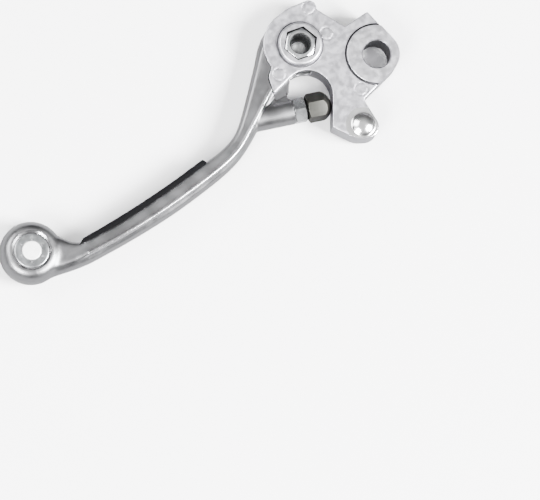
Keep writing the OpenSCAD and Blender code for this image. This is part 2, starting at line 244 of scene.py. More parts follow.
def prism(points, z0, z1):
    """A solid between two levels on a 2D outline."""
    obj = loop([(p[0], p[1], z0) for p in points])
    edit(obj)
    bpy.ops.mesh.edge_face_add()
    bpy.ops.mesh.extrude_region_move(TRANSFORM_OT_translate={"value": (0, 0, z1 - z0)})
    bpy.ops.mesh.select_all(action="SELECT")
    bpy.ops.mesh.normals_make_consistent(inside=False)
    done()
    return obj


def turned(profile, steps=96):
    """A solid turned about Z from a closed profile of (radius, height)."""
    obj = loop([(r, 0, z) for r, z in profile])
    edit(obj)
    bpy.ops.mesh.spin(steps=steps, angle=2 * pi, center=(0, 0, 0), axis=(0, 0, 1))
    bpy.ops.mesh.select_all(action="SELECT")
    bpy.ops.mesh.remove_doubles(threshold=1e-7)
    bpy.ops.mesh.dissolve_degenerate(threshold=1e-7)
    bpy.ops.mesh.select_all(action="SELECT")
    bpy.ops.mesh.normals_make_consistent(inside=False)
    done()
    return obj


def drum(radius, z0, z1, steps=96):
    """A plain round bar or cutter about Z."""
    deselect()
    bpy.ops.mesh.primitive_cylinder_add(vertices=steps, radius=radius, depth=z1 - z0,
                                        location=(0, 0, (z0 + z1) / 2))
    return settle(bpy.context.object)


def hexagon(across, z0, z1, roll=0):
    """A hexagonal bar about Z."""
    deselect()
    bpy.ops.mesh.primitive_cylinder_add(vertices=6, radius=across / sqrt(3), depth=z1 - z0,
                                        location=(0, 0, (z0 + z1) / 2),
                                        rotation=(0, 0, radians(roll + 30)))
    return settle(bpy.context.object)


def moved(obj, place, turn=(0, 0, 0)):
    """Moves and turns a finished shape, and settles it."""
    obj.rotation_euler = turn
    obj.location = place
    return settle(obj)


def along_adjuster(obj):
    """Lays a shape made about Z along the adjuster's axis, from the face of its boss."""
    obj.matrix_world = ADJUSTER_FRAME
    return settle(obj)


ADJUSTER_FRAME = Matrix.Translation(ADJUSTER) @ Matrix(
    ((ADJUSTER_DIR.y, 0, ADJUSTER_DIR.x), (-ADJUSTER_DIR.x, 0, ADJUSTER_DIR.y), (0, -1, 0))
).to_4x4()


def combine(obj, tool, operation, solver="MANIFOLD"):
    """Boolean of obj with tool, which is used up."""
    pick(obj)
    mod = obj.modifiers.new(operation.title(), "BOOLEAN")
    mod.operation = operation
    mod.solver = solver
    mod.object = tool
    bpy.ops.object.modifier_apply(modifier=mod.name)
    bpy.data.objects.remove(tool)
    return obj


def cut(obj, *tools):
    """Cuts tools out of obj."""
    for tool in tools:
        combine(obj, tool, "DIFFERENCE")
    return obj


def fused(obj, *others):
    """Unites obj with others."""
    for other in others:
        combine(obj, other, "UNION")
    return obj


def apply_modifier(obj, kind, **settings):
    """Adds a modifier with these settings and applies it."""
    pick(obj)
    mod = obj.modifiers.new(kind.title(), kind)
    for key, value in settings.items():
        setattr(mod, key, value)
    bpy.ops.object.modifier_apply(modifier=mod.name)
    return obj


def tumbled(obj, cell, passes):
    """Rounds every edge and hollow, as tumbling and casting do."""
    apply_modifier(obj, "REMESH", mode="VOXEL", voxel_size=cell, use_smooth_shade=True)
    apply_modifier(obj, "SMOOTH", factor=0.5, iterations=passes)
    return obj


def eased(obj, width, segments=2, angle=35):
    """Breaks the sharp edges by a small bevel."""
    return apply_modifier(obj, "BEVEL", width=width, segments=segments, limit_method="ANGLE",
                          angle_limit=radians(angle), miter_outer="MITER_ARC")


def crisp(obj, angle=32):
    """Smooth shading that keeps edges sharper than an angle."""
    pick(obj)
    bpy.ops.object.shade_smooth_by_angle(angle=radians(angle))
    return obj


def shade_faces(obj, name, value):
    """Stores a value on every face, worked out from where its middle lies."""
    layer = obj.data.attributes.new(name, "FLOAT", "FACE")
    layer.data.foreach_set("value", [float(value(face.center)) for face in obj.data.polygons])


def join(*objects):
    """One object from several."""
    pick(*objects)
    bpy.ops.object.join()
    return bpy.context.object


def finished(obj, name, body, slot, material, *nodes):
    """Names a piece, gives it its finish and ties it to the frame."""
    obj.name = name
    obj.data.name = name
    obj.data.materials.clear()
    obj.data.materials.append(material)
    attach(obj, body)
    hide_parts(*nodes)
    return obj


# ---- finishes ----------------------------------------------------------------------------------

def new_group(name, inputs, outputs):
    """A shader node group with float inputs {name: default} and outputs {name: socket type}."""
    group = bpy.data.node_groups.new(name, "ShaderNodeTree")
    for key, default in inputs.items():
        socket = group.interface.new_socket(name=key, in_out="INPUT", socket_type="NodeSocketFloat")
        socket.default_value = default
    for key, kind in outputs.items():
        group.interface.new_socket(name=key, in_out="OUTPUT", socket_type=kind)
    return group, group.nodes.new("NodeGroupInput"), group.nodes.new("NodeGroupOutput")


def node(tree, kind, **settings):
    """A new node, with its attributes and its numbered or named inputs set."""
    made = tree.nodes.new(kind)
    for key, value in settings.items():
        if key.startswith("in_"):
            label = key[3:]
            made.inputs[int(label) if label.isdigit() else label.replace("_", " ")].default_value = value
        else:
            setattr(made, key, value)
    return made


def ramp(tree, low, high, start=0.0, end=1.0):
    """A Map Range node from [low, high] to [start, end]."""
    return node(tree, "ShaderNodeMapRange", in_1=low, in_2=high, in_3=start, in_4=end)


def grain_group():
    """Cast or blasted grain: a fine height and slow cloudy patches, on object coordinates."""
    group, inside, outside = new_group(
        "Metal grain", {"Grain size": 0.4, "Patch size": 9.0},
        {"Height": "NodeSocketFloat", "Patches": "NodeSocketFloat", "Speckle": "NodeSocketFloat"})
    coords = group.nodes.new("ShaderNodeTexCoord")
    for key, source, detail in (("Height", "Grain size", 3), ("Patches", "Patch size", 4)):
        invert = node(group, "ShaderNodeMath", operation="DIVIDE", in_0=1 / MM)
        noise = node(group, "ShaderNodeTexNoise", in_Detail=detail, in_Roughness=0.6)
        group.links.new(inside.outputs[source], invert.inputs[1])
        group.links.new(coords.outputs["Object"], noise.inputs["Vector"])
        group.links.new(invert.outputs[0], noise.inputs["Scale"])
        group.links.new(noise.outputs["Fac"], outside.inputs[key])
    pits = node(group, "ShaderNodeTexVoronoi", in_Scale=0.55 / MM)
    few = ramp(group, 0.03, 0.1, 1, 0)
    group.links.new(coords.outputs["Object"], pits.inputs["Vector"])
    group.links.new(pits.outputs["Distance"], few.inputs[0])
    group.links.new(few.outputs[0], outside.inputs["Speckle"])
    return group


def scratch_group():
    """Fine tumbling scratches in two directions, as a height and a mask."""
    group, inside, outside = new_group(
        "Fine scratches", {"Amount": 0.5},
        {"Height": "NodeSocketFloat", "Mask": "NodeSocketFloat"})
    coords = group.nodes.new("ShaderNodeTexCoord")
    total = None
    for turn in (-12, 34, 81):
        mapping = node(group, "ShaderNodeMapping")
        mapping.inputs["Rotation"].default_value = (0, 0, radians(turn))
        mapping.inputs["Scale"].default_value = (90, 1900, 1900)
        lines = node(group, "ShaderNodeTexNoise", in_Scale=1.0, in_Detail=2.0)
        thin = ramp(group, 0.62, 0.78)
        group.links.new(coords.outputs["Object"], mapping.inputs["Vector"])
        group.links.new(mapping.outputs[0], lines.inputs["Vector"])
        group.links.new(lines.outputs["Fac"], thin.inputs[0])
        if total is None:
            total = thin
            continue
        larger = node(group, "ShaderNodeMath", operation="MAXIMUM")
        group.links.new(total.outputs[0], larger.inputs[0])
        group.links.new(thin.outputs[0], larger.inputs[1])
        total = larger
    scaled = node(group, "ShaderNodeMath", operation="MULTIPLY")
    group.links.new(total.outputs[0], scaled.inputs[0])
    group.links.new(inside.outputs["Amount"], scaled.inputs[1])
    group.links.new(scaled.outputs[0], outside.inputs["Mask"])
    group.links.new(scaled.outputs[0], outside.inputs["Height"])
    return group


def wear_group():
    """Rubbed edges; painted shade in hollows, from what stands close to the surface; and painted shade on
    upright sides, from how steep they stand.
    """
    group, inside, outside = new_group(
        "Edges and hollows", {"Edge": 0.25, "Hollow": 0.7},
        {"Rubbed": "NodeSocketFloat", "Hollow shade": "NodeSocketFloat", "Wall": "NodeSocketFloat"})
    # Edges are rubbed paler; the hollow term is painted shade, which darkens the colour where the surface is
    # closed in.
    for buried, reach, source, key in ((True, 0.5, "Edge", "Rubbed"), (False, 1.6, "Hollow", "Hollow shade")):
        near = node(group, "ShaderNodeAmbientOcclusion", samples=6, inside=buried, only_local=True,
                    in_Distance=reach * MM)
        shut = node(group, "ShaderNodeMath", operation="SUBTRACT", in_0=1.0, use_clamp=True)
        share = node(group, "ShaderNodeMath", operation="DIVIDE", use_clamp=True)
        group.links.new(near.outputs["AO"], shut.inputs[1])
        group.links.new(shut.outputs[0], share.inputs[0])
        group.links.new(inside.outputs[source], share.inputs[1])
        group.links.new(share.outputs[0], outside.inputs[key])
    # Painted shade: faces that stand upright get a darker colour, as if the sides fell in shade.
    facing = group.nodes.new("ShaderNodeNewGeometry")
    split = group.nodes.new("ShaderNodeSeparateXYZ")
    upward = node(group, "ShaderNodeMath", operation="ABSOLUTE")
    wall = ramp(group, 0.15, 0.75, 1, 0)
    group.links.new(facing.outputs["Normal"], split.inputs[0])
    group.links.new(split.outputs["Z"], upward.inputs[0])
    group.links.new(upward.outputs[0], wall.inputs[0])
    group.links.new(wall.outputs[0], outside.inputs["Wall"])
    return group


def place_group(tree, group, **inputs):
    """A group node with its input values."""
    made = tree.nodes.new("ShaderNodeGroup")
    made.node_tree = group
    for key, value in inputs.items():
        made.inputs[key.replace("_", " ")].default_value = value
    return made


def new_material(name):
    """A material with an empty Principled shader."""
    material = bpy.data.materials.new(name)
    material.use_nodes = True
    return material, material.node_tree, material.node_tree.nodes["Principled BSDF"]


def mixed(tree, factor, first, second):
    """A colour mix driven by a factor socket, of two colours or sockets."""
    mix = node(tree, "ShaderNodeMix", data_type="RGBA")
    tree.links.new(factor, mix.inputs[0])
    for index, value in ((6, first), (7, second)):
        if isinstance(value, bpy.types.NodeSocket):
            tree.links.new(value, mix.inputs[index])
        else:
            mix.inputs[index].default_value = (*value, 1)
    return mix.outputs[2]


def summed(tree, *pairs):
    """Sum of socket times weight, for each (socket, weight)."""
    total = None
    for socket, weight in pairs:
        term = node(tree, "ShaderNodeMath", operation="MULTIPLY", in_1=weight)
        tree.links.new(socket, term.inputs[0])
        if total is None:
            total = term.outputs[0]
            continue
        add = node(tree, "ShaderNodeMath", operation="ADD")
        tree.links.new(total, add.inputs[0])
        tree.links.new(term.outputs[0], add.inputs[1])
        total = add.outputs[0]
    return total


def metal(name, base, rough, grain_size, grain_depth, scratches=0.4, hollow_shade=0.9, wall=0.55,
          cloud=0.8, patch=3.0, highlight_gain=2.1, metallic=1.0):
    """A worn bare or plated metal: cloudy, paler where rubbed, smoother where polished with a painted
    highlight, and with painted shade in its hollows, on its upright sides and in its bores.
    """
    material, tree, shader = new_material(name)
    shader.inputs["Metallic"].default_value = metallic
    grain = place_group(tree, FINISH["grain"], Grain_size=grain_size, Patch_size=patch)
    marks = place_group(tree, FINISH["scratches"], Amount=scratches)
    wear = place_group(tree, FINISH["wear"])
    pale = [min(0.95, c * 1.45) for c in base]
    highlight_colour = [min(0.95, c * highlight_gain) for c in base]
    patches = ramp(tree, 0.38, 0.62)
    tree.links.new(grain.outputs["Patches"], patches.inputs[0])
    polish_and_highlight = node(tree, "ShaderNodeAttribute", attribute_name="polish_and_highlight").outputs["Fac"]
    bore_shade = node(tree, "ShaderNodeAttribute", attribute_name="bore_shade").outputs["Fac"]
    cloudy = mixed(tree, patches.outputs[0], [c * cloud for c in base], base)
    # Painted shade on upright sides.
    side_shaded = mixed(tree, wear.outputs["Wall"], cloudy, [c * wall for c in base])
    # Painted highlight: a paler colour where the polish and highlight attribute is set; the roughness drop
    # below is real polish.
    bright = mixed(tree, polish_and_highlight, side_shaded, highlight_colour)
    worn = mixed(tree, wear.outputs["Rubbed"], bright, pale)
    # Painted shade in hollows.
    hollow_shaded = mixed(tree, wear.outputs["Hollow shade"], worn, [c * (1 - hollow_shade) for c in base])
    # Painted shade inside bores, from the bore shade attribute.
    tree.links.new(mixed(tree, bore_shade, hollow_shaded, [c * 0.06 for c in base]), shader.inputs["Base Color"])
    roughness = summed(tree, (patches.outputs[0], 0.1), (marks.outputs["Mask"], 0.12),
                       (wear.outputs["Rubbed"], -0.08), (polish_and_highlight, -0.5 * rough))
    shifted = node(tree, "ShaderNodeMath", operation="ADD", use_clamp=True, in_1=rough - 0.05)
    tree.links.new(roughness, shifted.inputs[0])
    tree.links.new(shifted.outputs[0], shader.inputs["Roughness"])
    height = summed(tree, (grain.outputs["Height"], grain_depth), (marks.outputs["Height"], -0.25),
                    (grain.outputs["Speckle"], -0.5 * grain_depth))
    rough_part = node(tree, "ShaderNodeMath", operation="SUBTRACT", in_0=1.0, use_clamp=True)
    tree.links.new(polish_and_highlight, rough_part.inputs[1])
    felt = node(tree, "ShaderNodeMath", operation="MULTIPLY")
    tree.links.new(height, felt.inputs[0])
    tree.links.new(rough_part.outputs[0], felt.inputs[1])
    bump = node(tree, "ShaderNodeBump", in_Strength=0.6, in_Distance=0.06 * MM)
    tree.links.new(felt.outputs[0], bump.inputs["Height"])
    tree.links.new(bump.outputs[0], shader.inputs["Normal"])
    return material


def rubber_material(name, base, rough):
    """Moulded rubber or plastic with a fine blasted skin."""
    material, tree, shader = new_material(name)
    shader.inputs["Specular IOR Level"].default_value = 0.06
    grain = place_group(tree, FINISH["grain"], Grain_size=0.25, Patch_size=6.0)
    wear = place_group(tree, FINISH["wear"])
    dusty = [min(1, c * 1.8 + 0.0004) for c in base]
    cloudy = mixed(tree, grain.outputs["Patches"], base, dusty)
    tree.links.new(mixed(tree, wear.outputs["Rubbed"], cloudy, dusty), shader.inputs["Base Color"])
    roughness = summed(tree, (grain.outputs["Patches"], 0.2), (grain.outputs["Height"], 0.1))
    shifted = node(tree, "ShaderNodeMath", operation="ADD", use_clamp=True, in_1=rough - 0.15)
    tree.links.new(roughness, shifted.inputs[0])
    tree.links.new(shifted.outputs[0], shader.inputs["Roughness"])
    bump = node(tree, "ShaderNodeBump", in_Strength=0.4, in_Distance=0.04 * MM)
    tree.links.new(grain.outputs["Height"], bump.inputs["Height"])
    tree.links.new(bump.outputs[0], shader.inputs["Normal"])
    return material


FINISH = {}


def make_finishes(colours):
    """All node groups and materials of the object."""
    FINISH["grain"] = grain_group()
    FINISH["scratches"] = scratch_group()
    FINISH["wear"] = wear_group()
    grey_steel = [c * 0.42 for c in colours.bright]
    FINISH["cast"] = metal("Cast aluminium", colours.cast, 0.4, 0.5, 1.0, scratches=0.2)
    FINISH["forged"] = metal("Forged aluminium", colours.forged, 0.33, 0.4, 0.5, scratches=0.3,
                             wall=0.85, cloud=0.93, patch=8.0, highlight_gain=4.0)
    FINISH["bright"] = metal("Bright steel", colours.bright, 0.22, 0.4, 0.15, wall=0.8, cloud=0.9)
    FINISH["turned"] = metal("Turned end", [0.9] * 3, 0.55, 0.4, 0.3, cloud=0.97, metallic=0.4)
    FINISH["zinc"] = metal("Zinc plate", colours.bright, 0.26, 0.3, 0.05, scratches=0.1, hollow_shade=0.97,
                           wall=1.0, cloud=1.0, patch=20.0)
    FINISH["dark"] = metal("Phosphated steel", colours.dark, 0.5, 0.5, 0.8, scratches=0.7, wall=0.7)
    FINISH["spring"] = metal("Spring wire", grey_steel, 0.3, 0.4, 0.2)
    FINISH["washer"] = metal("Spring steel washer", grey_steel, 0.35, 0.4, 0.4)
    FINISH["bronze"] = metal("Bearing bronze", colours.bronze, 0.3, 0.4, 0.3)
    FINISH["rubber"] = rubber_material("Grip rubber", colours.rubber, 0.7)
    FINISH["seal"] = rubber_material("Seal rubber", colours.rubber, 0.6)
    FINISH["plastic"] = rubber_material("Badge plastic", colours.plastic, 0.4)


# ---- knuckle -----------------------------------------------------------------------------------

# The plate's straight-edged outline, corners (x, y, fillet radius) in millimetres
PLATE_CORNERS = [(-32.6, -17.7, 1.2), (-26.4, -27.2, 9), (-14.5, -32.8, 5.2), (-15, -14, 1.8),
                 (11.6, -6.9, 9.5), (6.4, 18, 0.8), (-5.3, 17.1, 0.5), (-14.9, 35.2, 1),
                 (-24, 36.1, 9), (-30.2, 34.2, 0), (-40.7, 20, 0), (-41.4, 17.8, 1.5),
                 (-45.2, 14.3, 3), (-47.4, 4, 0)]
# The throat: the ear's lower edge, the corner that it rounds, and the wall that the dome bears on
THROAT_CORNERS = [(-104.9, -7.6, 0), (-11.7, 16.2, 10.5), (-57.6, -58, 0)]
MARKS = [(-40.5, 13), (-13.7, 18.3), (-13.5, -9.7), (-14.6, 31.7)]
NOSE = (-20.9, -23.3)


def both_sides(make):
    """A cutter above the middle plane and its mirror image below."""
    upper = make()
    lower = make()
    lower.scale = (1, 1, -1)
    settle(lower)
    edit(lower)
    bpy.ops.mesh.normals_make_consistent(inside=False)
    done()
    return upper, lower


def facing_tool(radius, level, ease):
    """Cuts everything above a level and breaks the rim of the face it leaves."""
    foot = level - ease - MM
    return turned([(0, level), (radius - ease, level), (radius + MM, foot), (radius + 3 * MM, foot),
                   (radius + 3 * MM, level + 5 * MM), (0, level + 5 * MM)])


def shoulder_tool(radius, level, ease, ground, depth):
    """Faces a round boss, rounds its rim and turns its wall down to a crease in the ground."""
    rim = [(radius - ease * (1 - sin(radians(a))), level - ease * (1 - cos(radians(a))))
           for a in range(0, 91, 15)]
    clear = ground + 0.3 * MM
    wide = radius + 3 * MM
    return turned([(0, level)] + rim + [
        (radius, ground - depth), (radius + 0.35 * MM, ground - depth), (radius + 1.1 * MM, clear),
        (wide, clear), (wide, level + 5 * MM), (0, level + 5 * MM)], 128)


class LEVER_OT_knuckle(bpy.types.Operator):
    """Model the cast knuckle with its machined faces"""
    bl_idname = "lever.knuckle"
    bl_label = "Knuckle"

    def execute(self, context):
        size = context.scene.lever_knuckle
        half = size.plate / 2
        spare = 0.8 * MM
        body = prism(rounded(PLATE_CORNERS), -half, half)
        ear = moved(drum(size.ear_radius, -half, half), HINGE)
        mark = moved(drum(size.mark_radius + 0.5 * MM, -half, half), (MARKS[3][0] * MM, MARKS[3][1] * MM, 0))
        fused(body, ear, mark)
        cut(body, prism(rounded(THROAT_CORNERS, 24), -THROUGH, THROUGH))
        for x, y in MARKS:
            cut(body, *both_sides(lambda: moved(turned([
                (size.mark_radius - 0.45 * MM, half - 0.45 * MM), (size.mark_radius, half - 0.45 * MM),
                (size.mark_radius + 0.05 * MM, half + MM), (size.mark_radius - 0.5 * MM, half + MM)], 48),
                (x * MM, y * MM, 0))))
        limits = prism(rounded(PLATE_CORNERS), -15 * MM, 15 * MM)
        boss = drum(size.boss_radius, -size.boss_height / 2 - spare, size.boss_height / 2 + spare)
        combine(boss, limits, "INTERSECT")
        high = size.ring_height / 2 + spare
        ring = moved(drum(size.ring_radius, -high, high), HINGE)
        deselect()
        bpy.ops.mesh.primitive_uv_sphere_add(segments=64, ring_count=32, radius=size.nose_radius,
                                             location=(NOSE[0] * MM, NOSE[1] * MM, 0))
        nose = settle(bpy.context.object)
        combine(nose, prism(rounded(PLATE_CORNERS), -15 * MM, 15 * MM), "INTERSECT")
        fused(body, boss, ring, nose)
        slot = drum(11.9 * MM, -size.slot / 2, size.slot / 2)
        sector = prism([(0, 0)] + arc((0, 0), 40 * MM, 128, 240, 8), -size.slot / 2, size.slot / 2)
        cut(body, moved(fused(slot, sector), HINGE))
        tumbled(body, size.grain, 7)
        self.machine(body, size)
        crisp(body)
        nose_middle = Vector((NOSE[0] * MM, NOSE[1] * MM))
        face = size.boss_height / 2
        # Painted highlight on the nose and the boss faces, which are also made smoother.
        shade_faces(body, "polish_and_highlight", lambda c: (
            1.0 if (c.xy - nose_middle).length < size.nose_radius and abs(c.z) > half - 0.2 * MM
            else 0.15 if abs(c.z) > face - 0.1 * MM else 0))
        # Painted shade inside the hinge bore and the main bore.
        shade_faces(body, "bore_shade", lambda c: (
            1.0 if (c.xy - HINGE.xy).length < 7.75 * MM and abs(c.z) < 7.9 * MM
            else 0.45 if c.xy.length < size.bore_radius + 0.02 * MM else 0))
        finished(body, "knuckle_casting", "knuckle", "cast_aluminium", FINISH["cast"], "knuckle")
        return {"FINISHED"}

    def machine(self, body, size):
        """Faces, bores and marks that are cut into the rounded casting."""
        face = size.boss_height / 2
        half = size.plate / 2
        cut(body, *both_sides(lambda: shoulder_tool(
            size.boss_radius - 0.12 * MM, face, 0.25 * MM, half, 0.65 * MM)))
        cut(body, *both_sides(lambda: moved(shoulder_tool(
            size.ring_radius - 0.12 * MM, size.ring_height / 2, 1.1 * MM, half, 0.2 * MM), HINGE)))
        cut(body, drum(size.bore_radius, -THROUGH, THROUGH, 128))
        cut(body, *both_sides(lambda: turned([
            (0, face - 0.55 * MM), (size.bore_radius - 0.05 * MM, face - 0.55 * MM),
            (size.bore_radius + MM, face + 0.5 * MM), (0, face + 0.5 * MM)], 128)))
        across = bpy.context.scene.lever_fasteners.hinge_hex
        cut(body, moved(drum(5.55 * MM, -THROUGH, THROUGH), HINGE))
        cut(body, moved(hexagon(across + 1.1 * MM, 4.5 * MM, THROUGH, -10), HINGE))
        cut(body, moved(drum(6.55 * MM, -THROUGH, -4.9 * MM), HINGE))


# ---- blade -------------------------------------------------------------------------------------

# Outline of the blade in millimetres: x, finger side, bar side, half height
BLADE_KEYS = [
    (-36, 32.2, 9.9, 5.5), (-41, 28.6, 8.2, 5.5), (-48, 21.2, 5.2, 5.7), (-58, 11.1, -1.1, 6.1),
    (-68, 1.9, -7, 6.4), (-77, -2.1, -10.7, 6.5), (-90, -3.9, -13.3, 6.5), (-110, -6, -15.6, 6.5),
    (-130, -7.4, -16.4, 6.5), (-148, -6.8, -16.2, 6.3), (-153.5, -4.6, -15.9, 6.1),
    (-157.3, 0.6, -15.5, 5.8), (-162.5, 5, -14.5, 5.5), (-171.5, 6, -12.6, 4.5)]
EAR_SIDE = [(-40.7, 20, 0), (-41.4, 17.8, 1.5), (-45.2, 14.3, 3), (-47.4, 4, 0)]
WEB_CORNERS = [(-37, 9.5, 0), (-40.5, 5, 3), (-42.6, -0.5, 0), (-56, 2, 0), (-57, 8, 0),
               (-43, 24.5, 0), (-35.2, 26.8, 0), (-26.2, 10.8, 0)]
KEY_STEPS = 5


def curve_through(rows, steps):
    """Rows of a smooth curve through the rows of a table."""
    out = []
    last = len(rows) - 1
    for i in range(last):
        p0, p1, p2, p3 = (rows[max(i - 1, 0)], rows[i], rows[i + 1], rows[min(i + 2, last)])
        for k in range(steps):
            u = k / steps
            out.append(tuple(0.5 * (2 * b + (c - a) * u + (2 * a - 5 * b + 4 * c - d) * u ** 2
                                    + (3 * b - a - 3 * c + d) * u ** 3)
                             for a, b, c, d in zip(p0, p1, p2, p3)))
    return out + [rows[last]]


def blade_section(row):
    """Section points (y, z) in metres: sloping bar side, raised ridge, gentle top, round front."""
    x, front, bar, high = row
    wide = front - bar
    ridge = min(2.9, 0.3 * wide)
    upper = [(bar, 1.2), (bar + 0.3 * ridge, 0.6 * high), (bar + 0.68 * ridge, high - 1.75),
             (bar + 0.84 * ridge, high - 1.5), (bar + 0.92 * ridge, high - 0.3),
             (bar + ridge + 0.25, high + 0.08), (bar + ridge + 0.8, high - 0.05),
             (bar + ridge + 1.6, high - 0.4), (bar + 0.75 * wide, high - 0.5),
             (front - 0.12 * wide, high - 0.9), (front - 0.03 * wide, high - 2.2), (front, 1.4)]
    return [(y * MM, z * MM) for y, z in upper] + [(y * MM, -z * MM) for y, z in reversed(upper)]


def loft(rows):
    """The blade's skin, extruded from section to section and closed at both ends."""
    first = blade_section(rows[0])
    obj = loop([(rows[0][0] * MM, y, z) for y, z in first])
    edit(obj)
    bpy.ops.mesh.edge_face_add()
    for row in rows[1:]:
        bpy.ops.mesh.extrude_region_move(TRANSFORM_OT_translate={"value": (0, 0, 0)})
        mesh = bmesh.from_edit_mesh(obj.data)
        face = next(f for f in mesh.faces if f.select)
        for v, (y, z) in zip(order_ring(face), blade_section(row)):
            v.co = (row[0] * MM, y, z)
        bmesh.update_edit_mesh(obj.data)
    bpy.ops.mesh.select_all(action="SELECT")
    bpy.ops.mesh.normals_make_consistent(inside=False)
    done()
    return obj


def order_ring(face):
    """The vertices of the moving end face, from the lower corner of the bar side round the top."""
    ring = list(face.verts)
    upper = [v for v in ring if v.co.z > 0]
    start = min(upper, key=lambda v: v.co.y)
    i = ring.index(start)
    ring = ring[i:] + ring[:i]
    if ring[1].co.z < 0:
        ring = [ring[0]] + ring[:0:-1]
    return ring


def pad_seat(x):
    """Depth of the pad's seat at x, in millimetres."""
    return -9.6 + 5.6 * ((x + 129) / 42) ** 2


def pad_face(x):
    """Height of the pad's finger face at x, in millimetres."""
    return pad_seat(x) + 4.1 * (1 - 0.5 * ((x + 119.5) / 32) ** 2)


def pad_outline(grow=0, steps=28):
    """Outline of the pad in metres, grown outwards in millimetres."""
    seat = [-152 - grow + (65 + 2 * grow) * i / steps for i in range(steps + 1)]
    face = [-88 + grow + (-61 - 2 * grow) * i / steps for i in range(steps + 1)]
    return ([Vector((x * MM, (pad_seat(x) - grow) * MM)) for x in seat]
            + [Vector((x * MM, (pad_face(x) + grow) * MM)) for x in face])


